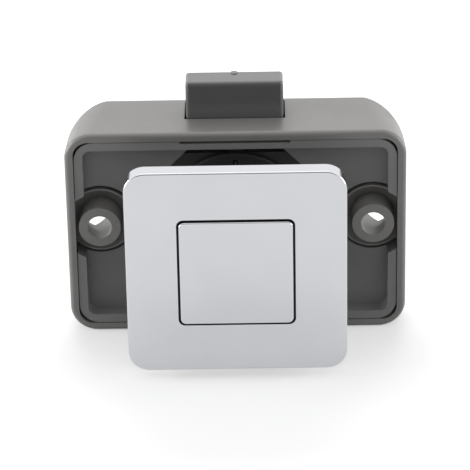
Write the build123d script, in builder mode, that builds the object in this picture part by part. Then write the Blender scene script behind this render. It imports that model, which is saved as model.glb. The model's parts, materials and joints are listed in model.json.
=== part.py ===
from build123d import *
import math
import os

# A push button cabinet lock, latched: the button is in and the bolt is out.
# Frame: +Z up, the way the bolt points; -Y is the room side of the door.
# The origin is on the door's inner face, on the button's axis between the two screw holes.
# The travel and the bolt's sizes come first, and the sleeve and the case are sized round them.

# Travel: the button pops out as a knob and the bolt drops level with the case
travel = 8.5
overtravel = 0.8

# Barrel: the male threaded tube through the door, with its flange
barrel_wall = 1.42
barrel_front = 14.5  # how far it reaches in front of the door's inner face
plunger_clearance = 0.08
flange_reach = 3.7
flange_thick = 1.6
flange_edge = 0.5

# Case: the outer shell, its walls and the seats inside it
body_corner = 5.8  # corners seen from the front, at the rim
back_corner = 9.5  # the same corners at the back
end_corner = 14.0  # back corners seen from above
back_edge_radius = 1.3  # back edges at the top and the bottom
case_wall = 1.9
pocket_corner = 3.3
seat_width = 1.2  # shelf that the front cover rests on
rim_edge_radius = 1.0
overrun = 1.0  # how far every cut runs past the face it opens

# Screw bosses: a tube in a shallow cup, open to the back through a well and a scallop
boss_inset = 7.25  # from the screw axis to the case's end
screw_bore_radius = 2.7
boss_radius = 4.65
boss_seat_depth = 3.8  # from the door's face to where the screw head rests
screw_well_radius = 4.4
cup_radius = 7.5
cup_lip = 0.3
cup_front = 3.9
land_half_height = 10.9
land_reach = 7.85  # from the screw axis towards the middle
scallop_wall = 1.5
scallop_floor = 3.4
scallop_low_reach = 1.5  # from the screw axis outwards, where its ramp starts
scallop_ramp_run = 4.9

# Front cover: a tray pressed into the case, flush with its rim
cover_gap = 0.18
cover_wall = 1.9
cover_corner = 4.3
tray_corner = 1.8
cover_recess = 0.2
floor_depth = 4.2
floor_thick = 1.8
boss_clearance = 0.7
port_gap = 2.7  # from the flange to the eight-sided opening round it
port_corner_cut = 9.2
floor_above_port = 0.32
floor_below_port = 3.82
relief_overlap = 1.35  # how much wider than the bolt it is, at each side
relief_depth = 0.5
relief_down = 2.0

# Mechanism plate: carries the barrel and the springs, and guides the bolt
mech_gap = 0.7  # to the lands behind the screw cups
mech_side = 7.7  # from the slide to the plate's side
mech_top_gap = 0.8
mech_bottom_gap = 2.3
mech_corner = 2.5
mech_thick = 1.6
mech_port_side_gap = 0.3
mech_port_end_gap = 0.5
sight_outer = 11.6  # outer end of the two slots above the barrel
sight_height = 3.0
sight_inset = 0.6
sight_rib = 3.0  # the rib between the two slots
post_inset = 3.1
post_radius = 2.4

# Small countersunk screws
small_screw_radius = 0.75
small_head_radius = 1.45
small_head_depth = 0.8
small_screw_length = 5.4
barrel_screw_length = 2.7
screw_fit = 0.05
head_slot_width = 0.4
head_slot_depth = 0.35

# Bolt: the head, the slide inside the case and its two lugs
bolt_width = 21.5
bolt_back_gap = 0.5
bolt_bevel_run = 2.6
bolt_bevel_drop = 5.0
bolt_edge = 0.8
bolt_slot_gap = 0.35
bolt_run_gap = 0.4  # from the mechanism plate to the bolt's front face
slide_shoulder = 3.25  # how far the slide reaches past the head
slide_back_room = 2.4
slide_gap = 0.3
slide_end_gap = 0.4  # left under the slide when the bolt is down
slide_edge = 0.6
head_overlap = 6.1  # how far the head's block runs down the slide
guide_thick = 1.5
back_rib_inner = 5.0
back_rib_thick = 2.0
rib_root = 0.6  # how far the rails and ribs run into the case's floor
gate_radius = 0.8
gate_height = 0.15
lug_inner = 1.8
lug_outer = 4.0
lug_radius = 1.9
lug_clearance = 0.46  # from the lugs' corners to the spring washer
pin_radius = 1.0
pin_inset = 0.2  # the pin's middle, in front of the mechanism plate
pin_fit = 0.02
pin_chamfer = 0.2
window_slack = 0.35

# Bolt springs, upright in open pockets in the slide
bolt_wire = 0.5
bolt_turns = 8
spring_inset = 3.5  # from the spring's axis to the slide's side
pocket_wall = 1.5
pocket_roof = 3.6
spring_shelf_rise = 6.0  # above the slide's lower end
spring_shelf_thick = 1.5
spring_shelf_gap = 0.3
seat_gap = 0.05

# Plunger: the button's stem, a cup with a cam blade down its middle
plunger_wall = 1.4
plunger_head = 2.0
blade_half_thick = 1.5
blade_spring_gap = 0.35
blade_wall = 1.0
cam_gap = 0.1
key_height = 3.2
key_length = 3.0
key_gap = 0.15

# Latching track in the plunger's top, and the spring wire that follows it
track_width = 1.25
track_depth = 0.8
track_lane = 1.8  # each lane from the middle
track_rest_y = -5.5
track_valley = 1.1
lane_start_share = 0.55
wire_thick = 0.9
wire_rise = 0.35  # clear of the plunger
wire_leg = 2.4
wire_slot_half_width = 2.6
wire_fit = 0.04
track_tip_gap = 0.1

# Button spring round the cam blade, on a steel washer
button_wire = 0.9
button_turns = 7
button_spring_gap = 0.25
washer_thick = 0.4
washer_ledge = 0.4  # how far it reaches inside the spring's middle line
washer_gap = 0.4

# Face plate: a chromed shell over a plastic core, set for this thickness of door
door_thick = 19.0
plate_size = 47.5
plate_corner = 4.6
plate_thick = 3.7
plate_skin = 1.2
plate_edge = 0.35
button_hole = 25.4
hole_corner = 1.5
core_gap = 0.1
core_floor = 0.9
core_overlap = 0.7  # how far the core's hole is inside the collar

# Threaded collar behind the plate, in the 26 mm hole of the door
collar_wall = 1.1
collar_thread_gap = 0.12
collar_length = 15.5
collar_lip = 1.1
collar_bore_gap = 0.4
collar_edge = 0.4

# Button: a chromed square cap over a plastic core with two studs
button_gap = 0.5
button_thick = 2.4
button_proud = 0.4
button_corner = 1.2
button_skin = 1.0
button_edge = 0.25
stud_inset = 0.95  # from its clip to the spring
stud_radius = 1.5
stud_length = 2.7
clip_radius = 2.2
clip_thick = 0.6
stud_fit = 0.04

# Round the button's axis, from the bolt's lugs outwards
pin_rest_z = travel / 2
washer_bore = math.hypot(lug_outer, pin_rest_z + lug_radius) + lug_clearance
button_coil_radius = washer_bore + washer_ledge
blade_half_height = button_coil_radius - button_wire / 2 - blade_spring_gap
stud_offset = button_coil_radius - button_wire / 2 - stud_inset - clip_radius
plunger_radius = button_coil_radius + button_wire / 2 + button_spring_gap + plunger_wall
washer_radius = plunger_radius - washer_gap
bore_radius = plunger_radius + plunger_clearance
barrel_radius = bore_radius + barrel_wall
flange_radius = barrel_radius + flange_reach
barrel_screw_circle = (barrel_radius + flange_radius) / 2
collar_radius = barrel_radius + collar_wall
core_bore = collar_radius - core_overlap
collar_bore = plunger_radius + collar_bore_gap
port_half = flange_radius + port_gap

# Across, from the bolt out to the case's ends
slide_half_width = bolt_width / 2 + slide_shoulder
spring_offset = slide_half_width - spring_inset
mech_half_width = slide_half_width + mech_side
boss_offset = mech_half_width + mech_gap + land_reach
body_width = 2 * (boss_offset + boss_inset)

# Up and down, from the port in the cover to the case's top and bottom
rim_width = case_wall + cover_gap + cover_wall
body_top = port_half + floor_above_port + rim_width
body_bottom = -port_half - floor_below_port - rim_width
body_middle = (body_top + body_bottom) / 2
body_height = body_top - body_bottom
cavity_top = body_top - case_wall - seat_width
cavity_bottom = body_bottom + case_wall + seat_width
mech_top = cavity_top - mech_top_gap
mech_bottom = cavity_bottom + mech_bottom_gap
sight_top = mech_top - sight_inset
sight_bottom = sight_top - sight_height
slide_top = cavity_top - slide_gap
slide_bottom = cavity_bottom + travel + slide_end_gap
head_root = slide_top - head_overlap
bolt_top = body_top + travel
pocket_top = slide_top - pocket_roof
spring_shelf_top = slide_bottom + spring_shelf_rise
window_top = blade_half_height + travel + window_slack
window_bottom = -blade_half_height - mech_port_end_gap

# From the door's inner face back, and from its room side forward
cover_back = floor_depth + floor_thick
mech_back = cover_back + mech_thick
bolt_front = mech_back + bolt_run_gap
pin_y = cover_back - pin_inset
blade_back = pin_y + pin_radius + blade_wall + travel
inner_back = blade_back + overtravel
body_depth = inner_back + case_wall
bolt_depth = inner_back - bolt_front - bolt_back_gap
slide_depth = bolt_depth - slide_back_room
pocket_depth = slide_depth - pocket_wall
bolt_coil_radius = (pocket_depth - bolt_wire) / 2 - spring_shelf_gap
washer_front = cover_back - washer_thick
plunger_back = washer_front - overtravel - 2 * seat_gap
plate_back = -door_thick
plate_front = plate_back - plate_thick
core_face = plate_back - core_floor
button_front = plate_front - button_proud
button_back = button_front + button_thick
plunger_inner = button_back + plunger_head

def deep(y):
    """The plane at depth y, seen from the room: its x is X and its y is Z."""
    return Plane.XZ.offset(-y)


def along_y(x, z):
    """The line through x and z that runs from the room into the cabinet."""
    return Axis((x, 0, z), (0, 1, 0))


def write(piece, name):
    """Label a finished piece and write its file."""
    piece.label = name
    export_step(piece, "parts/" + name + ".step")


def rounded_case(inset, front, back, corners, ends, edges):
    """The body's form drawn in by inset, rounded as seen from the front, above and the side."""
    with BuildPart() as form:
        for depth, corner in zip((front, back), corners):
            with BuildSketch(deep(depth)):
                with Locations((0, body_middle)):
                    RectangleRounded(body_width - 2 * inset, body_height - 2 * inset, corner)
        loft(ruled=True)
        with BuildSketch(Plane.XY.offset(body_bottom - overrun)) as plan:
            with Locations((0, (front + back) / 2)):
                Rectangle(body_width - 2 * inset, back - front)
            fillet(plan.vertices().group_by(Axis.Y)[-1], ends)
        extrude(amount=body_height + 2 * overrun, mode=Mode.INTERSECT)
        with BuildSketch(Plane.YZ.offset(-body_width / 2 - overrun)) as side:
            with Locations(((front + back) / 2, body_middle)):
                Rectangle(back - front, body_height - 2 * inset)
            fillet(side.vertices().group_by(Axis.X)[-1], edges)
        extrude(amount=body_width + 2 * overrun, mode=Mode.INTERSECT)
    return form.part


def helix_path(radius, start, length, turns):
    """A coil about Z on arcs: each quarter turn is two arcs, tangent where they meet."""
    steps = 4 * turns
    rise = length / steps
    slope = Vector(0, 2 * math.pi * radius / 4, rise).normalized()
    places = []
    headings = []
    for step in range(steps + 1):
        angle = step * math.pi / 2
        places.append(Vector(radius * math.cos(angle), radius * math.sin(angle), start + step * rise))
        headings.append(Vector(-math.sin(angle) * slope.Y, math.cos(angle) * slope.Y, slope.Z))
    arcs = []
    for here, there, tangent, next_tangent in zip(places, places[1:], headings, headings[1:]):
        chord = there - here
        both = tangent + next_tangent
        spread = 2 * (1 - tangent.dot(next_tangent))
        reach = (math.sqrt(chord.dot(both) ** 2 + spread * chord.dot(chord)) - chord.dot(both)) / spread
        middle = (here + tangent * reach + there - next_tangent * reach) * 0.5
        for one, knee, other in (
            (here, here + tangent * reach, middle),
            (middle, there - next_tangent * reach, there),
        ):
            centre = (one + other) * 0.5
            bend = (one - centre).length / reach
            arcs.append(ThreePointArc(one, centre + (knee - centre) * (bend / (1 + bend)), other))
    return places, headings, arcs


def coil(radius, wire, length, turns, name):
    """A compression spring about Z from 0 to length, one unbroken tube with straight tips."""
    first = wire / 2 + seat_gap
    places, headings, arcs = helix_path(radius, first, length - 2 * first, turns)
    lead = Line(places[0] - headings[0] * wire, places[0])
    tail = Line(places[-1], places[-1] + headings[-1] * wire)
    with BuildPart() as spring:
        with BuildLine():
            add([lead] + arcs + [tail])
        with BuildSketch(Plane(origin=places[0] - headings[0] * wire, z_dir=headings[0])):
            Circle(wire / 2)
        sweep()
    least = (length - 2 * first) / turns * headings[0].Y - wire
    print(name, "least gap between turns", round(least, 3))
    return spring.part


def small_screw(shank):
    """A countersunk self-tapping screw, its head's top at the origin, pointing along -Z."""
    with BuildPart() as screw:
        with BuildSketch(Plane.XZ):
            with BuildLine():
                Polyline(
                    (0, 0),
                    (small_head_radius, 0),
                    (small_screw_radius, -small_head_depth),
                    (small_screw_radius, small_screw_radius - shank),
                    (0, -shank),
                    close=True,
                )
            make_face()
        revolve(axis=Axis.Z)
        for turn in (0, 90):
            with BuildSketch(Plane.XY):
                Rectangle(small_head_radius, head_slot_width, rotation=turn)
            extrude(amount=-head_slot_depth, mode=Mode.SUBTRACT)
    return screw.part


def screw_seats(points, plane, depth):
    """Countersunk holes for small screws, drawn on the face that their heads lie in."""
    with BuildPart() as seats:
        with BuildSketch(plane):
            with Locations(*points):
                Circle(small_screw_radius + screw_fit)
        extrude(amount=-depth)
        for point in points:
            with BuildSketch(plane):
                with Locations(point):
                    Circle(small_head_radius + screw_fit)
            with BuildSketch(plane.offset(-small_head_depth)):
                with Locations(point):
                    Circle(small_screw_radius + screw_fit)
            loft()
    return seats.part


def eight_sided(half, cut):
    """The outline of a square with its corners cut off at 45 degrees."""
    flat = half - cut
    return Polyline(
        (flat, half),
        (half, flat),
        (half, -flat),
        (flat, -half),
        (-flat, -half),
        (-half, -flat),
        (-half, flat),
        (-flat, half),
        close=True,
    )


def screw_boss(x):
    """The tube that a fixing screw passes, standing in its cup."""
    with BuildPart() as boss:
        with BuildSketch(Plane.XY):
            with BuildLine():
                Polyline(
                    (x, 0),
                    (x + boss_radius, 0),
                    (x + boss_radius, cover_back),
                    (x + cup_radius - cup_lip, cup_front),
                    (x + cup_radius, cup_front),
                    (x + cup_radius, cover_back + overrun),
                    (x, cover_back + overrun),
                    close=True,
                )
            make_face()
        revolve(axis=along_y(x, 0))
        add(outer_form, mode=Mode.INTERSECT)
    return boss.part


os.makedirs("parts", exist_ok=True)

# Housing
outer_form = rounded_case(
    0, 0, body_depth, (body_corner, back_corner), end_corner, back_edge_radius
)
cavity_form = rounded_case(
    case_wall + seat_width,
    -overrun,
    inner_back,
    (pocket_corner, back_corner - case_wall - seat_width),
    end_corner - case_wall,
    back_edge_radius,
)
bosses = [screw_boss(side * boss_offset) for side in (-1, 1)]
post_points = [
    (side * (mech_half_width - post_inset), level)
    for side in (-1, 1)
    for level in (mech_top - post_inset, mech_bottom + post_inset)
]
with BuildPart() as housing:
    add(outer_form)
    fillet(housing.faces().sort_by(Axis.Y)[0].edges(), rim_edge_radius)
    add(cavity_form, mode=Mode.SUBTRACT)
    # solid lands behind the screw cups
    for side in (-1, 1):
        inner = boss_offset - land_reach
        outer = body_width / 2 - case_wall / 2
        with BuildSketch(deep(body_depth - case_wall / 2)):
            with Locations((side * (inner + outer) / 2, 0)):
                Rectangle(outer - inner, 2 * land_half_height)
        extrude(amount=body_depth - case_wall / 2 - floor_depth)
    add(outer_form, mode=Mode.INTERSECT)
    # pocket for the front cover
    with BuildSketch(deep(cover_back)):
        with Locations((0, body_middle)):
            RectangleRounded(body_width - 2 * case_wall, body_height - 2 * case_wall, pocket_corner)
    extrude(amount=cover_back + overrun, mode=Mode.SUBTRACT)
    for boss in bosses:
        add(boss)
    for side in (-1, 1):
        axis_x = side * boss_offset
        # screw bore, head well and the scallop that opens the well to the end
        with BuildSketch(deep(body_depth + overrun)):
            with Locations((axis_x, 0)):
                Circle(screw_bore_radius)
        extrude(amount=body_depth + 2 * overrun, mode=Mode.SUBTRACT)
        with BuildSketch(deep(body_depth + overrun)):
            with Locations((axis_x, 0)):
                Circle(screw_well_radius)
        extrude(amount=body_depth + overrun - boss_seat_depth, mode=Mode.SUBTRACT)
        low = axis_x + side * scallop_low_reach
        land_back = cover_back + scallop_floor
        with BuildSketch(Plane.XY.offset(scallop_wall - land_half_height)):
            with BuildLine():
                Polyline(
                    (low - side * scallop_ramp_run, body_depth + overrun),
                    (low - side * scallop_ramp_run, body_depth),
                    (low, land_back),
                    (side * (body_width / 2 + overrun), land_back),
                    (side * (body_width / 2 + overrun), body_depth + overrun),
                    close=True,
                )
            make_face()
        extrude(amount=2 * (land_half_height - scallop_wall), mode=Mode.SUBTRACT)
        # rails beside the slide and ribs behind it
        with BuildSketch(deep(body_depth - case_wall / 2)):
            with Locations((side * (slide_half_width + slide_gap + guide_thick / 2), body_middle)):
                Rectangle(guide_thick, cavity_top - cavity_bottom + 2 * rib_root)
        extrude(amount=body_depth - case_wall / 2 - bolt_front)
        rib_top = head_root - travel - slide_gap
        rib_height = rib_top - cavity_bottom + rib_root
        rib_x = side * (back_rib_inner + back_rib_thick / 2)
        with BuildSketch(deep(body_depth - case_wall / 2)):
            with Locations((rib_x, rib_top)):
                Rectangle(back_rib_thick, rib_height, align=(Align.CENTER, Align.MAX))
        extrude(amount=body_depth - case_wall / 2 - bolt_front - slide_depth - slide_gap)
    # posts for the mechanism plate
    with BuildSketch(deep(body_depth - case_wall / 2)):
        with Locations(*post_points):
            Circle(post_radius)
    extrude(amount=body_depth - case_wall / 2 - mech_back)
    with BuildSketch(deep(mech_back + small_screw_length)):
        with Locations(*post_points):
            Circle(small_screw_radius + screw_fit)
    extrude(amount=small_screw_length, mode=Mode.SUBTRACT)
    # slot for the bolt
    with BuildSketch(Plane.XY.offset(cavity_top - seat_width)):
        with Locations((0, (bolt_front - bolt_slot_gap + inner_back) / 2)):
            Rectangle(bolt_width + 2 * bolt_slot_gap, inner_back - bolt_front + bolt_slot_gap)
    extrude(amount=body_top - cavity_top + seat_width + overrun, mode=Mode.SUBTRACT)
write(housing.part, "housing")

# Front cover
tray_width = body_width - 2 * (case_wall + cover_gap)
tray_height = body_height - 2 * (case_wall + cover_gap)
with BuildPart() as front_cover:
    with BuildSketch(deep(cover_back)):
        with Locations((0, body_middle)):
            RectangleRounded(tray_width, tray_height, cover_corner)
    extrude(amount=cover_back - cover_recess)
    with BuildSketch(deep(floor_depth)):
        with Locations((0, body_middle)):
            RectangleRounded(tray_width - 2 * cover_wall, tray_height - 2 * cover_wall, tray_corner)
    extrude(amount=floor_depth + overrun, mode=Mode.SUBTRACT)
    with BuildSketch(deep(cover_back + overrun)):
        with Locations((-boss_offset, 0), (boss_offset, 0)):
            Circle(cup_radius + boss_clearance)
    extrude(amount=cover_back + 2 * overrun, mode=Mode.SUBTRACT)
    with BuildSketch(deep(cover_back + overrun)):
        with BuildLine():
            eight_sided(port_half, port_corner_cut)
        make_face()
    extrude(amount=floor_thick + 2 * overrun, mode=Mode.SUBTRACT)
    # relief above the bolt's foot
    with BuildSketch(deep(relief_down)):
        with Locations((0, body_middle + tray_height / 2)):
            Rectangle(bolt_width + 2 * relief_overlap, 2 * relief_depth)
    extrude(amount=relief_down + overrun, mode=Mode.SUBTRACT)
write(front_cover.part, "front_cover")

# Mechanism plate
barrel_screw_reach = barrel_screw_circle / math.sqrt(2)
barrel_screw_points = [
    (side * barrel_screw_reach, level * barrel_screw_reach) for side in (-1, 1) for level in (-1, 1)
]
mech_screw_holes = screw_seats(post_points, deep(cover_back), mech_thick + overrun)
mech_back_face = deep(mech_back).rotated((180, 0, 0))
barrel_screw_holes = screw_seats(barrel_screw_points, mech_back_face, barrel_screw_length)
with BuildPart() as mechanism_plate:
    with BuildSketch(deep(mech_back)):
        with Locations((0, (mech_top + mech_bottom) / 2)):
            RectangleRounded(2 * mech_half_width, mech_top - mech_bottom, mech_corner)
    extrude(amount=mech_thick)
    for side in (-1, 1):
        # shelf behind the plate for one of the bolt's springs
        with BuildSketch(deep(mech_back + bolt_run_gap + 2 * bolt_coil_radius + bolt_wire)):
            with Locations((side * spring_offset, spring_shelf_top - spring_shelf_thick / 2)):
                Rectangle(pocket_depth - 2 * spring_shelf_gap, spring_shelf_thick)
        extrude(amount=bolt_run_gap + 2 * bolt_coil_radius + bolt_wire + mech_thick / 2)
        # slot above the barrel
        with BuildSketch(deep(mech_back + overrun)):
            with Locations((side * (sight_outer + sight_rib / 2) / 2, (sight_top + sight_bottom) / 2)):
                Rectangle(sight_outer - sight_rib / 2, sight_top - sight_bottom)
        extrude(amount=mech_thick + 2 * overrun, mode=Mode.SUBTRACT)
    with BuildSketch(deep(mech_back + overrun)):
        Rectangle(2 * (lug_outer + mech_port_side_gap), 2 * (blade_half_height + mech_port_end_gap))
    extrude(amount=mech_thick + 2 * overrun, mode=Mode.SUBTRACT)
    add(mech_screw_holes, mode=Mode.SUBTRACT)
    add(barrel_screw_holes, mode=Mode.SUBTRACT)
write(mechanism_plate.part, "mechanism_plate")

# Barrel
wire_height = plunger_radius + wire_rise + wire_thick / 2
wire_foot_y = cover_back - flange_thick / 2
with BuildPart() as barrel:
    with BuildSketch(Plane.XY):
        with BuildLine():
            Polyline(
                (bore_radius, -barrel_front),
                (barrel_radius, -barrel_front),
                (barrel_radius, cover_back - flange_thick),
                (flange_radius, cover_back - flange_thick),
                (flange_radius, cover_back),
                (bore_radius, cover_back),
                close=True,
            )
        make_face()
    revolve(axis=Axis.Y)
    flange_rims = barrel.edges().filter_by(GeomType.CIRCLE).group_by(SortBy.RADIUS)[-1]
    fillet(flange_rims.sort_by(Axis.Y)[0], flange_edge)
    # keyways at the sides, then the slot and the anchor hole of the track wire
    key_slot_front = plunger_back - key_length - travel - key_gap
    with BuildSketch(Plane.YZ.offset(-barrel_radius)):
        with Locations(((key_slot_front + cover_back) / 2, 0)):
            Rectangle(cover_back - key_slot_front, key_height + 2 * key_gap)
    extrude(amount=2 * barrel_radius, mode=Mode.SUBTRACT)
    wire_slot_front = track_rest_y - wire_thick - overrun
    with BuildSketch(deep(cover_back - flange_thick)):
        with Locations((0, (barrel_radius + plunger_radius) / 2)):
            Rectangle(2 * wire_slot_half_width, barrel_radius)
    extrude(amount=cover_back - flange_thick - wire_slot_front, mode=Mode.SUBTRACT)
    wire_leg_top = wire_height + wire_leg
    with BuildSketch(deep(cover_back)):
        with Locations((0, (wire_leg_top + plunger_radius) / 2)):
            Rectangle(wire_thick + 2 * wire_fit, wire_leg_top - plunger_radius + wire_thick)
    extrude(amount=flange_thick, mode=Mode.SUBTRACT)
    add(barrel_screw_holes, mode=Mode.SUBTRACT)
write(barrel.part, "barrel")

# Latch bolt
with BuildPart() as latch_bolt:
    with BuildSketch(Plane.YZ.offset(-bolt_width / 2)):
        with BuildLine():
            Polyline(
                (bolt_front, head_root),
                (bolt_front, bolt_top),
                (bolt_front + bolt_depth - bolt_bevel_run, bolt_top),
                (bolt_front + bolt_depth, bolt_top - bolt_bevel_drop),
                (bolt_front + bolt_depth, head_root),
                close=True,
            )
        make_face()
    extrude(amount=bolt_width)
    fillet(latch_bolt.edges().filter_by_position(Axis.Z, head_root + bolt_edge, bolt_top), bolt_edge)
    with BuildSketch(deep(bolt_front + slide_depth)):
        with Locations((0, (slide_top + slide_bottom) / 2)):
            RectangleRounded(2 * slide_half_width, slide_top - slide_bottom, slide_edge)
    extrude(amount=slide_depth)
    # small gate mark on the top, near the bevel
    with BuildSketch(Plane.XY.offset(bolt_top - gate_height)):
        with Locations((0, bolt_front + bolt_depth - bolt_bevel_run - gate_radius)):
            Circle(gate_radius)
    extrude(amount=2 * gate_height)
    for side in (-1, 1):
        # lug that holds one end of the cross pin
        with BuildSketch(Plane.YZ.offset(side * lug_inner)):
            with Locations((pin_y, pin_rest_z)):
                Circle(lug_radius)
            with Locations(((pin_y + bolt_front + lug_radius) / 2, pin_rest_z)):
                Rectangle(bolt_front + lug_radius - pin_y, 2 * lug_radius)
        extrude(amount=side * (lug_outer - lug_inner))
        # pocket for one spring, open at the front and the bottom
        with BuildSketch(deep(bolt_front + pocket_depth)):
            with Locations((side * spring_offset, (pocket_top + slide_bottom - overrun) / 2)):
                Rectangle(pocket_depth, pocket_top - slide_bottom + overrun)
        extrude(amount=pocket_depth + overrun, mode=Mode.SUBTRACT)
    with BuildSketch(deep(bolt_front + bolt_depth + overrun)):
        with Locations((0, (window_top + window_bottom) / 2)):
            Rectangle(2 * lug_inner, window_top - window_bottom)
    extrude(amount=bolt_depth + 2 * overrun, mode=Mode.SUBTRACT)
    with BuildSketch(Plane.YZ.offset(-lug_outer - overrun)):
        with Locations((pin_y, pin_rest_z)):
            Circle(pin_radius + pin_fit)
    extrude(amount=2 * (lug_outer + overrun), mode=Mode.SUBTRACT)
write(latch_bolt.part, "latch_bolt")

# Bolt pin
with BuildPart() as bolt_pin:
    with BuildSketch(Plane.YZ.offset(-lug_outer)):
        with Locations((pin_y, pin_rest_z)):
            Circle(pin_radius)
    extrude(amount=2 * lug_outer)
    chamfer(bolt_pin.edges().filter_by(GeomType.CIRCLE), pin_chamfer)
write(bolt_pin.part, "bolt_pin")

# Bolt springs
bolt_coil = coil(bolt_coil_radius, bolt_wire, pocket_top - spring_shelf_top, bolt_turns, "bolt spring")
for side, name in ((-1, "bolt_spring_left"), (1, "bolt_spring_right")):
    with BuildPart() as bolt_spring:
        with Locations((side * spring_offset, bolt_front + pocket_depth / 2, spring_shelf_top)):
            add(bolt_coil)
    write(bolt_spring.part, name)

# Plunger
neck_low = pin_rest_z + pin_radius + cam_gap
ramp_sum = pin_y + pin_rest_z + (pin_radius + cam_gap) * math.sqrt(2)  # height plus depth on the ramp
blade_gap_front = pin_y - pin_radius - blade_wall
lane_end = track_rest_y + lane_start_share * travel
track_points = [
    (0, track_rest_y + travel),
    (-track_lane, lane_end),
    (-track_lane, track_rest_y - track_valley),
    (0, track_rest_y),
    (track_lane, track_rest_y - track_valley),
    (track_lane, lane_end),
]
with BuildPart() as plunger:
    with BuildSketch(Plane.XY):
        with BuildLine():
            Polyline(
                (0, button_back),
                (plunger_radius, button_back),
                (plunger_radius, plunger_back),
                (plunger_radius - plunger_wall, plunger_back),
                (plunger_radius - plunger_wall, plunger_inner),
                (0, plunger_inner),
                close=True,
            )
        make_face()
    revolve(axis=Axis.Y)
    # cam blade: its ramp pushes the bolt's pin down as the button comes out
    with BuildSketch(Plane.YZ.offset(-blade_half_thick)):
        with BuildLine():
            Polyline(
                (plunger_inner - plunger_head / 2, -blade_half_height),
                (blade_gap_front, -blade_half_height),
                (blade_gap_front, neck_low),
                (ramp_sum - neck_low, neck_low),
                (blade_back, ramp_sum - blade_back),
                (blade_back, blade_half_height),
                (plunger_inner - plunger_head / 2, blade_half_height),
                close=True,
            )
        make_face()
    extrude(amount=2 * blade_half_thick)
    # keys that slide in the barrel's keyways
    with BuildSketch(deep(plunger_back)):
        for side in (-1, 1):
            inner = plunger_radius - plunger_wall / 2
            outer = barrel_radius - key_gap
            with Locations((side * (inner + outer) / 2, 0)):
                Rectangle(outer - inner, key_height)
    extrude(amount=key_length)
    # latching track: out by one lane, back by the other, with a notch between them
    with BuildSketch(Plane.XY.offset(plunger_radius - track_depth)):
        for one, other in zip(track_points, track_points[1:] + track_points[:1]):
            run = Vector(*other) - Vector(*one)
            heading = math.degrees(math.atan2(run.Y, run.X))
            with Locations(((one[0] + other[0]) / 2, (one[1] + other[1]) / 2)):
                SlotCenterToCenter(run.length, track_width, rotation=heading)
    extrude(amount=track_depth + overrun, mode=Mode.SUBTRACT)
    with BuildSketch(deep(plunger_inner + overrun)):
        with Locations((-stud_offset, 0), (stud_offset, 0)):
            Circle(stud_radius + stud_fit)
    extrude(amount=plunger_head + 2 * overrun, mode=Mode.SUBTRACT)
write(plunger.part, "plunger")

# Track wire
tip_height = plunger_radius - track_depth + track_tip_gap
with BuildPart() as track_wire:
    with BuildLine() as wire_line:
        FilletPolyline(
            (0, track_rest_y, tip_height),
            (0, track_rest_y, wire_height),
            (0, wire_foot_y, wire_height),
            (0, wire_foot_y, wire_leg_top),
            radius=wire_thick,
        )
    with BuildSketch(Plane.XY.offset(tip_height)):
        with Locations((0, track_rest_y)):
            Circle(wire_thick / 2)
    sweep()
write(track_wire.part, "track_wire")

# Button spring and its washer
button_spring_length = washer_front - plunger_inner
button_coil = coil(button_coil_radius, button_wire, button_spring_length, button_turns, "button spring")
with BuildPart() as button_spring:
    with Locations(Location((0, plunger_inner, 0), (-90, 0, 0))):
        add(button_coil)
write(button_spring.part, "button_spring")

with BuildPart() as spring_washer:
    with BuildSketch(deep(cover_back)):
        Circle(washer_radius)
        Circle(washer_bore, mode=Mode.SUBTRACT)
    extrude(amount=washer_thick)
write(spring_washer.part, "spring_washer")

# Face plate
return_size = button_hole + 2 * plate_skin
with BuildPart() as face_plate:
    with BuildSketch(deep(plate_back)):
        RectangleRounded(plate_size, plate_size, plate_corner)
    extrude(amount=plate_thick)
    fillet(face_plate.faces().sort_by(Axis.Y)[0].edges(), plate_edge)
    shell_inside = plate_size - 2 * plate_skin
    with BuildSketch(deep(plate_back)):
        RectangleRounded(shell_inside, shell_inside, plate_corner - plate_skin)
    extrude(amount=plate_thick - plate_skin, mode=Mode.SUBTRACT)
    with BuildSketch(deep(core_face)):
        RectangleRounded(return_size, return_size, hole_corner + plate_skin)
    extrude(amount=plate_thick - core_floor - plate_skin / 2)
    with BuildSketch(deep(plate_back)):
        RectangleRounded(button_hole, button_hole, hole_corner)
    extrude(amount=plate_thick + overrun, mode=Mode.SUBTRACT)
write(face_plate.part, "face_plate")

# Plate core
core_size = plate_size - 2 * (plate_skin + core_gap)
core_hole = return_size + 2 * core_gap
with BuildPart() as plate_core:
    with BuildSketch(deep(plate_back)):
        RectangleRounded(core_size, core_size, plate_corner - plate_skin - core_gap)
    extrude(amount=plate_thick - plate_skin - core_gap)
    with BuildSketch(deep(core_face)):
        RectangleRounded(core_hole, core_hole, hole_corner + plate_skin + core_gap)
    extrude(amount=plate_thick, mode=Mode.SUBTRACT)
    with BuildSketch(deep(plate_back)):
        Circle(core_bore)
    extrude(amount=plate_thick, mode=Mode.SUBTRACT)
write(plate_core.part, "plate_core")

# Plate collar
collar_back = plate_back + collar_length
thread_bore = barrel_radius + collar_thread_gap
with BuildPart() as plate_collar:
    with BuildSketch(Plane.XY):
        with BuildLine():
            Polyline(
                (collar_bore, core_face + core_gap),
                (core_bore - core_gap, core_face + core_gap),
                (core_bore - core_gap, plate_back),
                (collar_radius, plate_back),
                (collar_radius, collar_back),
                (thread_bore, collar_back),
                (thread_bore, plate_back + collar_lip),
                (collar_bore, plate_back + collar_lip),
                close=True,
            )
        make_face()
    revolve(axis=Axis.Y)
    outer_edges = plate_collar.edges().filter_by(GeomType.CIRCLE).group_by(SortBy.RADIUS)[-1]
    chamfer(outer_edges.sort_by(Axis.Y)[-1], collar_edge)
write(plate_collar.part, "plate_collar")

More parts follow.
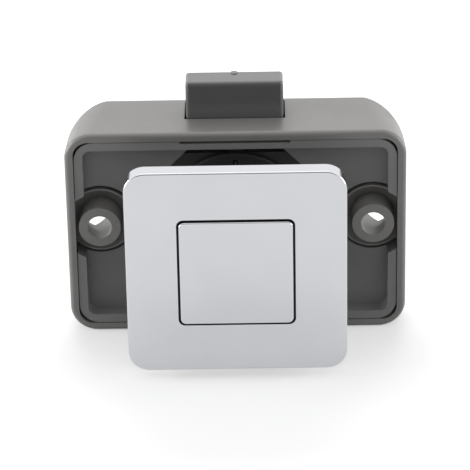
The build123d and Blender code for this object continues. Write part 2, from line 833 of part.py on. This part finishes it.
# Button cap
cap_size = button_hole - 2 * button_gap
cap_inner = cap_size - 2 * button_skin
with BuildPart() as button_cap:
    with BuildSketch(deep(button_back)):
        RectangleRounded(cap_size, cap_size, button_corner)
    extrude(amount=button_thick)
    fillet(button_cap.faces().sort_by(Axis.Y)[0].edges(), button_edge)
    with BuildSketch(deep(button_back)):
        Rectangle(cap_inner, cap_inner)
    extrude(amount=button_thick - button_skin, mode=Mode.SUBTRACT)
write(button_cap.part, "button_cap")

# Button core
with BuildPart() as button_core:
    with BuildSketch(deep(button_back)):
        Rectangle(cap_inner - 2 * core_gap, cap_inner - 2 * core_gap)
    extrude(amount=button_thick - button_skin - core_gap)
    with BuildSketch(deep(button_back)):
        with Locations((-stud_offset, 0), (stud_offset, 0)):
            Circle(stud_radius)
    extrude(amount=-stud_length)
write(button_core.part, "button_core")

# Stud clips
with BuildPart() as stud_clips:
    with BuildSketch(deep(plunger_inner + clip_thick)):
        with Locations((-stud_offset, 0), (stud_offset, 0)):
            Circle(clip_radius)
            Circle(stud_radius + stud_fit, mode=Mode.SUBTRACT)
    extrude(amount=clip_thick)
write(stud_clips.part, "stud_clips")

# Small screws
with BuildPart() as mechanism_screws:
    with Locations(deep(cover_back)):
        with Locations(*post_points):
            add(small_screw(small_screw_length))
write(mechanism_screws.part, "mechanism_screws")

with BuildPart() as barrel_screws:
    with Locations(mech_back_face):
        with Locations(*barrel_screw_points):
            add(small_screw(barrel_screw_length))
write(barrel_screws.part, "barrel_screws")
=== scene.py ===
import json
import math

import bmesh
import bpy
from mathutils import Matrix, Vector


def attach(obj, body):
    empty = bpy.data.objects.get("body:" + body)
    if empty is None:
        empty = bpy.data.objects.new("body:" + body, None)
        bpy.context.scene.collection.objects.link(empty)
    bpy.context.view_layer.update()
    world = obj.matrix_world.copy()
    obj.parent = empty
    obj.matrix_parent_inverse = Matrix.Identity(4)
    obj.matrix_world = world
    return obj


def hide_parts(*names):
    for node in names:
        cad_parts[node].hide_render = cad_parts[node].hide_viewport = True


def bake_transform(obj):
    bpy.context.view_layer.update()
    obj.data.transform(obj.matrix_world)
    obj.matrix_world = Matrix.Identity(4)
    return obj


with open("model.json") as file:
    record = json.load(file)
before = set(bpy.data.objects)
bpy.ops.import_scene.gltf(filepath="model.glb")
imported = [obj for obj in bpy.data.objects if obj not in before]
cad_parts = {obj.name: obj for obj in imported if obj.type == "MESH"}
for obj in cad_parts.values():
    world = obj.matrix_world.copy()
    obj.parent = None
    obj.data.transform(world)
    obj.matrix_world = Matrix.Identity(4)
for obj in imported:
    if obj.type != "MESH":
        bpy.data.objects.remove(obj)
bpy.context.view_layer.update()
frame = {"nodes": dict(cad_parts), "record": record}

# Camera, in metres, degrees and pixels of the picture
look_at = Vector((0.0, 0.0, -0.00175))
azimuth = -0.48
elevation = 26.76
roll = -1.07
distance = 0.662
focal_px = 2989
photo_px = 470
right_px = 1.6  # how far the object's middle sits right of the picture's
above_px = 2.6
sensor = 36.0  # millimetres
near_clip = 0.01

# Light
white = (1.0, 1.0, 1.0)
world_fill = 0.44
backdrop_white = 1.0
dark_front = 0.12  # how light the studio's unlit front is, which only bright metal shows
front_above = 17.0  # middle of that front above the horizon, in degrees
front_edges = (0.80, 0.93)  # cosines of the angles at which it begins and is full
lamps = (  # name, place, size, power, and whether chrome shows it
    ("top_light", (-0.08, 0.20, 0.60), 0.50, 0.46, True),
    ("back_light", (0.00, 0.50, 0.42), 0.50, 2.05, False),
    ("left_light", (-0.62, -0.02, 0.10), 0.35, 2.6, True),
    ("right_light", (0.62, -0.02, 0.10), 0.35, 1.9, True),
)

# Floor
floor_level = -0.026
floor_reach = 3.0
floor_white = 0.80  # how pale it is where it is seen
floor_bounce = 0.30  # how much of the light it sends back up at the object
floor_lift = 0.40  # added where the floor is seen, so that it is white and keeps its shadow
floor_shine = 0.16  # the same for what chrome shows of the floor
floor_roughness = 0.9
floor_clouds = (6.0, 2.0)
floor_tones = (0.97, 1.0)

# Barrel thread: ridges on the part of the barrel that shows behind the collar
thread_pitch = 0.0019
thread_root = 0.01174
thread_crest = 0.01235
thread_half_base = 0.00072
thread_half_crest = 0.00022
thread_front = -0.0033
thread_back = 0.0036
thread_steps = 120  # a turn
thread_taper = 14  # steps over which an end runs out
thread_fewest = 3  # sections that a stretch of ridge has at the least
thread_edge = 0.00007
thread_edge_rings = 2
thread_edge_from = 25.0  # degrees between faces from which their edge is rounded
wire_slot_half = 0.0026
keyway_half = 0.00175

# Patterns: each noise as cells per metre and detail, relief in metres, tints as shares
noise_spread = (0.3, 0.7)  # where the values of a noise mostly lie
flow_marks = (55.0, 3.0)
flow_stretch = (1.0, 1.0, 2.2)
flow_relief = 0.00006
flow_tints = (0.965, 1.035)
handling_marks = (160.0, 4.0)
spark_grain = (3800.0, 1.0)
chrome_haze = (90.0, 4.0)
chrome_tones = ((0.752, 0.760, 0.788, 1.0), (0.778, 0.785, 0.810, 1.0))
chrome_roughness = (0.10, 0.17)
chrome_waves = (140.0, 1.0)
chrome_relief = 0.00003
drawing_lines = (2500.0, 3.0)
drawing_tints = (0.85, 1.08)
drawing_relief = 0.00001

# Plastics: linear colour, roughness where smoothest and where roughest, grain height, gloss
plastics = {
    "case_grey": ((0.268, 0.263, 0.256), 0.30, 0.42, 0.000010, 0.2),
    "cover_grey": ((0.275, 0.274, 0.278), 0.36, 0.50, 0.000012, 0.0),
    "plate_dark": ((0.075, 0.075, 0.077), 0.45, 0.60, 0.000014, 0.0),
    # barrel_grey is darkened nearly to black so that the barrel and its thread fade into the hub
    # behind the plate: partly the part's own dark plastic, partly painted shade of that recess
    "barrel_grey": ((0.052, 0.052, 0.053), 0.28, 0.40, 0.000008, 0.0),
    "bolt_grey": ((0.122, 0.122, 0.123), 0.26, 0.36, 0.000008, 1.0),
    "plunger_dark": ((0.035, 0.035, 0.036), 0.28, 0.40, 0.000008, 0.0),
    "core_grey": ((0.075, 0.075, 0.077), 0.40, 0.55, 0.000012, 0.0),
}
# Steels: linear colour, stretch of the drawing lines, roughness where smoothest and roughest
steels = {
    "steel": ((0.56, 0.56, 0.57), (1.0, 1.0, 0.2), 0.22, 0.38),
    "spring_wire": ((0.60, 0.60, 0.61), (1.0, 1.0, 1.0), 0.18, 0.32),
}

# Sockets of a mix of two colours, and of a mix of two shaders
mix_share, mix_one, mix_other, mix_result = 0, 6, 7, 2
shader_one, shader_other = 1, 2


def scaled(colour, share=1.0):
    """The colour made lighter or darker by a share, and opaque."""
    return tuple(channel * share for channel in colour) + (1.0,)


def new_material(name):
    """A material with its shader, and object coordinates to place patterns by."""
    material = bpy.data.materials.new(name)
    material.use_nodes = True
    tree = material.node_tree
    coords = tree.nodes.new("ShaderNodeTexCoord")
    return material, tree, tree.nodes["Principled BSDF"], coords.outputs["Object"]


def noise(tree, vector, pattern):
    """A noise pattern of so many cells per metre and so much detail."""
    node = tree.nodes.new("ShaderNodeTexNoise")
    node.inputs["Scale"].default_value, node.inputs["Detail"].default_value = pattern
    tree.links.new(vector, node.inputs["Vector"])
    return node.outputs[0]


def stretched(tree, vector, scale):
    """Coordinates stretched along the axes."""
    node = tree.nodes.new("ShaderNodeMapping")
    node.inputs["Scale"].default_value = scale
    tree.links.new(vector, node.inputs["Vector"])
    return node.outputs["Vector"]


def between(tree, value, low, high):
    """A noise value spread over a range."""
    node = tree.nodes.new("ShaderNodeMapRange")
    node.inputs["From Min"].default_value, node.inputs["From Max"].default_value = noise_spread
    node.inputs["To Min"].default_value = low
    node.inputs["To Max"].default_value = high
    tree.links.new(value, node.inputs["Value"])
    return node.outputs["Result"]


def tinted(tree, value, one, other):
    """A colour that goes from one to the other with the value."""
    node = tree.nodes.new("ShaderNodeMix")
    node.data_type = "RGBA"
    node.inputs[mix_one].default_value = one
    node.inputs[mix_other].default_value = other
    tree.links.new(value, node.inputs[mix_share])
    return node.outputs[mix_result]


def bump(tree, shader, value, height, under=None):
    """Relief of that height in metres, on top of any relief under it."""
    node = tree.nodes.new("ShaderNodeBump")
    node.inputs["Strength"].default_value = 1.0
    node.inputs["Distance"].default_value = height
    tree.links.new(value, node.inputs["Height"])
    if under is not None:
        tree.links.new(under, node.inputs["Normal"])
    tree.links.new(node.outputs["Normal"], shader.inputs["Normal"])
    return node.outputs["Normal"]


def moulded_plastic(name, colour, smooth, rough, grain, gloss):
    """Injection-moulded plastic: a fine spark-eroded grain, soft flow marks and handling shine."""
    material, tree, shader, place = new_material(name)
    shader.inputs["Coat Weight"].default_value = gloss
    shader.inputs["Coat Roughness"].default_value = smooth / 2
    flow = noise(tree, stretched(tree, place, flow_stretch), flow_marks)
    darker, lighter = (scaled(colour, share) for share in flow_tints)
    tree.links.new(
        tinted(tree, between(tree, flow, 0.0, 1.0), darker, lighter),
        shader.inputs["Base Color"],
    )
    shine = noise(tree, place, handling_marks)
    tree.links.new(between(tree, shine, smooth, rough), shader.inputs["Roughness"])
    waves = bump(tree, shader, flow, flow_relief)
    bump(tree, shader, noise(tree, place, spark_grain), grain, waves)
    return material


def chrome_plate(name):
    """Bright chrome on moulded plastic: faint waves under it and a trace of haze."""
    material, tree, shader, place = new_material(name)
    shader.inputs["Metallic"].default_value = 1.0
    haze = noise(tree, place, chrome_haze)
    tree.links.new(
        tinted(tree, between(tree, haze, 0.0, 1.0), *chrome_tones),
        shader.inputs["Base Color"],
    )
    tree.links.new(between(tree, haze, *chrome_roughness), shader.inputs["Roughness"])
    bump(tree, shader, noise(tree, place, chrome_waves), chrome_relief)
    return material


def drawn_steel(name, colour, along, smooth, rough):
    """Bare steel with fine drawing lines."""
    material, tree, shader, place = new_material(name)
    shader.inputs["Metallic"].default_value = 1.0
    lines = noise(tree, stretched(tree, place, along), drawing_lines)
    darker, lighter = (scaled(colour, share) for share in drawing_tints)
    tree.links.new(
        tinted(tree, between(tree, lines, 0.0, 1.0), darker, lighter),
        shader.inputs["Base Color"],
    )
    tree.links.new(between(tree, lines, smooth, rough), shader.inputs["Roughness"])
    bump(tree, shader, lines, drawing_relief)
    return material


finishes = {name: moulded_plastic(name, *values) for name, values in plastics.items()}
finishes["chrome"] = chrome_plate("chrome")
for name, values in steels.items():
    finishes[name] = drawn_steel(name, *values)
for part in frame["record"]["subparts"]:
    node = frame["nodes"][part["node"]]
    for material_slot in node.material_slots:
        material_slot.material = finishes[part["material_slot"]]


def thread_bare(angle):
    """Whether the barrel is cut away here: at the wire slot on top and the keyways at the sides."""
    x = thread_root * math.cos(angle)
    z = thread_root * math.sin(angle)
    return (abs(x) < wire_slot_half and z > 0) or abs(z) < keyway_half


def thread_runs():
    """The last step of the helix, and its stretches between the cuts as lists of steps."""
    last = round((thread_back - thread_front) / thread_pitch * thread_steps)
    runs = [[]]
    for step in range(last + 1):
        if thread_bare(2 * math.pi * step / thread_steps):
            runs.append([])
        else:
            runs[-1].append(step)
    return last, [run for run in runs if len(run) >= thread_fewest]


def thread_section(mesh, step, height):
    """The ridge's section at a step of the helix; at height 1 its crest is at its full radius."""
    angle = 2 * math.pi * step / thread_steps
    depth = thread_front + thread_pitch * step / thread_steps
    crest = thread_root + (thread_crest - thread_root) * height
    profile = (
        (thread_root, -thread_half_base),
        (crest, -thread_half_crest),
        (crest, thread_half_crest),
        (thread_root, thread_half_base),
    )
    return [
        mesh.verts.new((radius * math.cos(angle), depth + offset, radius * math.sin(angle)))
        for radius, offset in profile
    ]


def skin(mesh, sections):
    """Faces from each section to the next, and one over each end."""
    for one, other in zip(sections, sections[1:]):
        for side in range(len(one)):
            after = (side + 1) % len(one)
            mesh.faces.new((one[side], one[after], other[after], other[side]))
    mesh.faces.new(reversed(sections[0]))
    mesh.faces.new(sections[-1])


def thread_ridge():
    """Helical ridges of a moulded thread, each stretch closed at its ends."""
    last, runs = thread_runs()
    mesh = bmesh.new()
    for run in runs:
        sections = []
        for step in run:
            height = min(1.0, (step + 1) / thread_taper, (last + 1 - step) / thread_taper)
            sections.append(thread_section(mesh, step, height))
        skin(mesh, sections)
    bmesh.ops.recalc_face_normals(mesh, faces=mesh.faces)
    data = bpy.data.meshes.new("barrel_thread")
    mesh.to_mesh(data)
    mesh.free()
    piece = bpy.data.objects.new("barrel_thread", data)
    bpy.context.scene.collection.objects.link(piece)
    edge = piece.modifiers.new("edge", "BEVEL")
    edge.width = thread_edge
    edge.segments = thread_edge_rings
    edge.limit_method = "ANGLE"
    edge.angle_limit = math.radians(thread_edge_from)
    # the thread takes barrel_grey, whose near-black is partly painted shade of the hub behind the
    # plate
    data.materials.append(finishes["barrel_grey"])
    return piece


def springy(node):
    """The node's coil as a separate piece copied in its place, with the part itself hidden."""
    coil = bpy.data.objects.new(node + "_coil", frame["nodes"][node].data.copy())
    bpy.context.scene.collection.objects.link(coil)
    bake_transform(coil)
    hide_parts(node)


for name in ("bolt_spring_left", "bolt_spring_right"):
    springy(name)
springy("button_spring")

thread = thread_ridge()
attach(thread, "case")


def camera_like_the_photo():
    """A camera at the photograph's angle, distance and framing."""
    around = math.radians(azimuth)
    above = math.radians(elevation)
    turn = math.radians(roll)
    forward = Vector((
        math.sin(around) * math.cos(above),
        math.cos(around) * math.cos(above),
        -math.sin(above),
    ))
    level = Vector((math.cos(around), -math.sin(around), 0.0))
    upright = level.cross(forward)
    right = math.cos(turn) * level + math.sin(turn) * upright
    up = math.cos(turn) * upright - math.sin(turn) * level
    data = bpy.data.cameras.new("photo_camera")
    data.sensor_width = sensor
    data.lens = sensor * focal_px / photo_px
    data.shift_x = -right_px / photo_px
    data.shift_y = -above_px / photo_px
    data.clip_start = near_clip
    camera = bpy.data.objects.new("photo_camera", data)
    camera.matrix_world = (
        Matrix.Translation(look_at - forward * distance)
        @ Matrix((right, up, -forward)).transposed().to_4x4()
    )
    bpy.context.scene.collection.objects.link(camera)
    bpy.context.scene.camera = camera


def arithmetic(tree, operation, one, other):
    """A value worked out from two others, each an output or a number."""
    node = tree.nodes.new("ShaderNodeMath")
    node.operation = operation
    for value, socket in zip((one, other), node.inputs):
        if isinstance(value, float):
            socket.default_value = value
        else:
            tree.links.new(value, socket)
    return node.outputs[0]


def seen_rays(tree):
    """1 for rays from the camera or through glass, and 1 for rays by way of metal."""
    light_path = tree.nodes.new("ShaderNodeLightPath")
    by_camera = light_path.outputs["Is Camera Ray"]
    by_glass = light_path.outputs["Is Transmission Ray"]
    direct = arithmetic(tree, "MAXIMUM", by_camera, by_glass)
    return direct, light_path.outputs["Is Glossy Ray"]


def unlit_front(tree):
    """How light the studio is in a direction: dark low in front, and white elsewhere."""
    coords = tree.nodes.new("ShaderNodeTexCoord")
    toward = tree.nodes.new("ShaderNodeVectorMath")
    toward.operation = "DOT_PRODUCT"
    above = math.radians(front_above)
    toward.inputs[1].default_value = (0.0, -math.cos(above), math.sin(above))
    tree.links.new(coords.outputs["Generated"], toward.inputs[0])
    fade = tree.nodes.new("ShaderNodeMapRange")
    fade.interpolation_type = "SMOOTHSTEP"
    fade.inputs["From Min"].default_value, fade.inputs["From Max"].default_value = front_edges
    fade.inputs["To Min"].default_value = backdrop_white
    fade.inputs["To Max"].default_value = dark_front
    tree.links.new(toward.outputs["Value"], fade.inputs["Value"])
    return fade.outputs["Result"]


def white_world():
    """A white backdrop that lights the object only as a soft fill."""
    world = bpy.data.worlds.new("studio")
    world.use_nodes = True
    tree = world.node_tree
    fill = tree.nodes["Background"]
    fill.inputs["Color"].default_value = scaled(white)
    fill.inputs["Strength"].default_value = world_fill
    direct, by_metal = seen_rays(tree)
    shader = fill.outputs["Background"]
    for rays, strength in ((direct, backdrop_white), (by_metal, unlit_front(tree))):
        seen = tree.nodes.new("ShaderNodeBackground")
        seen.inputs["Color"].default_value = scaled(white)
        if isinstance(strength, float):
            seen.inputs["Strength"].default_value = strength
        else:
            tree.links.new(strength, seen.inputs["Strength"])
        mix = tree.nodes.new("ShaderNodeMixShader")
        tree.links.new(rays, mix.inputs["Fac"])
        tree.links.new(shader, mix.inputs[shader_one])
        tree.links.new(seen.outputs["Background"], mix.inputs[shader_other])
        shader = mix.outputs["Shader"]
    tree.links.new(shader, tree.nodes["World Output"].inputs["Surface"])
    bpy.context.scene.world = world


def pale_floor():
    """A plain floor that looks white and keeps a soft shadow."""
    mesh = bmesh.new()
    mesh.faces.new([
        mesh.verts.new((x * floor_reach, y * floor_reach, floor_level))
        for x, y in ((-1, -1), (1, -1), (1, 1), (-1, 1))
    ])
    data = bpy.data.meshes.new("studio_floor")
    mesh.to_mesh(data)
    mesh.free()
    floor = bpy.data.objects.new("studio_floor", data)
    bpy.context.scene.collection.objects.link(floor)
    material, tree, shader, place = new_material("studio_floor")
    shader.inputs["Roughness"].default_value = floor_roughness
    shader.inputs["Specular IOR Level"].default_value = 0.0
    direct, by_metal = seen_rays(tree)
    tone = between(tree, noise(tree, place, floor_clouds), *floor_tones)
    seen = arithmetic(tree, "MULTIPLY", arithmetic(tree, "MAXIMUM", direct, by_metal), tone)
    tree.links.new(
        tinted(tree, seen, scaled(white, floor_bounce), scaled(white, floor_white)),
        shader.inputs["Base Color"],
    )
    lift = tree.nodes.new("ShaderNodeEmission")
    lift.inputs["Color"].default_value = scaled(white)
    to_eye = arithmetic(tree, "MULTIPLY", direct, floor_lift)
    to_metal = arithmetic(tree, "MULTIPLY", by_metal, floor_shine)
    tree.links.new(arithmetic(tree, "ADD", to_eye, to_metal), lift.inputs["Strength"])
    both = tree.nodes.new("ShaderNodeAddShader")
    tree.links.new(shader.outputs["BSDF"], both.inputs[0])
    tree.links.new(lift.outputs["Emission"], both.inputs[1])
    tree.links.new(both.outputs["Shader"], tree.nodes["Material Output"].inputs["Surface"])
    data.materials.append(material)


def softbox(name, place, size, power, shines):
    """A square soft lamp that points at the object, and that chrome shows only if it shines."""
    data = bpy.data.lights.new(name, "AREA")
    data.size = size
    data.energy = power
    lamp = bpy.data.objects.new(name, data)
    lamp.location = place
    lamp.rotation_euler = (-Vector(place)).to_track_quat("-Z", "Y").to_euler()
    lamp.visible_glossy = shines
    bpy.context.scene.collection.objects.link(lamp)


camera_like_the_photo()
white_world()
pale_floor()
for lamp_values in lamps:
    softbox(*lamp_values)

scene = bpy.context.scene
scene.view_settings.view_transform = "Standard"
